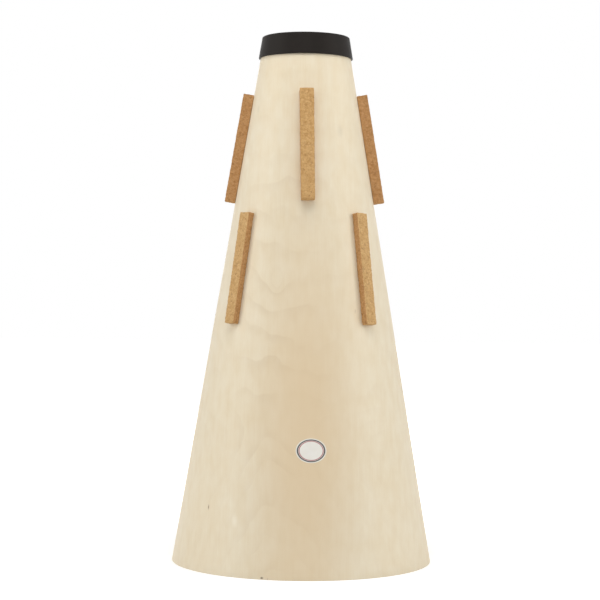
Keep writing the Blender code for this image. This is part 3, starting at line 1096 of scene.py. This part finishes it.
# The glow that the camera and reflections see on the floor, beside the mute and at that distance
# from the axis, in metres, where less of the lamps' light falls
FLOOR_GLOW_NEAR = 0.34
FLOOR_GLOW_FAR = 0.84
FLOOR_GLOW_REACH = 0.90
AIR_LEVEL = 0.42
AIR_COLOUR = "F4F6FA"
# Turn in degrees, height of its middle, distance, width and height, and power in watts
SOFT_BOXES = {
    "left_soft_box": (-72.0, 0.95, 2.0, 0.9, 1.5, 14.2),
    "right_soft_box": (72.0, 0.95, 2.0, 0.9, 1.5, 14.4),
    "rear_soft_box": (180.0, 0.95, 2.4, 1.4, 1.5, 14.0),
}
# Distance in front of the axis, height, size and power in watts
TOP_BOX = (0.8, 1.8, 1.1, 12.4)
LAMP_COLOUR = "FFFDF8"


def seen_directly(tree):
    """1 for what the camera sees directly, in a reflection or through glass, and 0 for other light."""
    path = add(tree, "LightPath", {})
    seen = path.outputs["Is Camera Ray"]
    for ray in ("Is Glossy Ray", "Is Transmission Ray"):
        seen = add(tree, "Math", {0: seen, 1: path.outputs[ray]}, operation="MAXIMUM")
    return seen


def pale_floor():
    mesh = bpy.data.meshes.new("floor")
    corners = [(x * FLOOR_REACH, y * FLOOR_REACH, 0.0) for x, y in ((-1, -1), (1, -1), (1, 1), (-1, 1))]
    mesh.from_pydata(corners, [], [(0, 1, 2, 3)])
    floor = placed("floor", mesh)
    pale = linear(FLOOR_PALE)
    material, shader = finish("pale_floor", Base_Color=pale, Roughness=0.9, Specular_IOR_Level=0.0)
    tree = material.node_tree
    place = add(tree, "TexCoord", {}).outputs["Object"]
    apart = add(tree, "VectorMath", {0: place}, operation="LENGTH")
    level = {"Value": apart, "From Min": BASE_RADIUS, "From Max": FLOOR_GLOW_REACH}
    level = add(tree, "MapRange", {**level, "To Min": FLOOR_GLOW_NEAR, "To Max": FLOOR_GLOW_FAR})
    glow = add(tree, "Math", {0: seen_directly(tree), 1: level}, operation="MULTIPLY")
    wire(shader, {"Emission Color": (1.0, 1.0, 1.0, 1.0), "Emission Strength": glow})
    mesh.materials.append(material)


def surroundings():
    world = bpy.data.worlds.new("studio")
    world.use_nodes = True
    tree = world.node_tree
    lights = tree.nodes["Background"]
    wire(lights, {"Color": linear(AIR_COLOUR), "Strength": AIR_LEVEL})
    white = add(tree, "Background", {"Color": (1.0, 1.0, 1.0, 1.0), "Strength": 1.0})
    shown = add(tree, "MixShader", {0: seen_directly(tree), 1: lights, 2: white})
    wire(tree.nodes["World Output"], {"Surface": shown})
    bpy.context.scene.world = world


def soft_box(name, place, aim, width, height, power):
    lamp = bpy.data.lights.new(name, "AREA")
    lamp.shape = "RECTANGLE"
    lamp.size = width
    lamp.size_y = height
    lamp.energy = power
    lamp.color = linear(LAMP_COLOUR)[:3]
    obj = placed(name, lamp)
    obj.location = place
    obj.rotation_euler = (aim - place).to_track_quat("-Z", "Y").to_euler()


pale_floor()
surroundings()
middle = Vector((0.0, 0.0, RIM_HEIGHT / 2))
for name, (turn, height, distance, width, tall, power) in SOFT_BOXES.items():
    turn = math.radians(turn)
    place = Vector((distance * math.sin(turn), -distance * math.cos(turn), height))
    soft_box(name, place, middle, width, tall, power)
forward, height, size, power = TOP_BOX
soft_box("top_soft_box", Vector((0.0, -forward, height)), middle, size, size, power)

# The camera
# Its place, its slight tilt and roll and its lens are fitted to the photograph's outline. The frame
# is 600 pixels square. The tilt down and the roll are in radians.

CAMERA_DISTANCE = 2.200
CAMERA_HEIGHT = 0.353
CAMERA_DOWN = 0.0067
CAMERA_ROLL = 0.0097
FOCAL_PIXELS = 1685.0
FRAME_PIXELS = 600.0
AXIS_PIXELS_RIGHT = 3.48

camera = bpy.data.cameras.new("camera")
camera.sensor_width = 36.0
camera.lens = FOCAL_PIXELS / FRAME_PIXELS * camera.sensor_width
stand = placed("camera", camera)
aside = Matrix.Rotation(math.atan(AXIS_PIXELS_RIGHT / FOCAL_PIXELS), 4, "Z")
down = Matrix.Rotation(math.pi / 2 - CAMERA_DOWN, 4, "X")
roll = Matrix.Rotation(CAMERA_ROLL, 4, "Z")
stand.matrix_world = Matrix.Translation((0.0, -CAMERA_DISTANCE, CAMERA_HEIGHT)) @ aside @ down @ roll
bpy.context.scene.camera = stand
bpy.context.scene.view_settings.view_transform = "Standard"
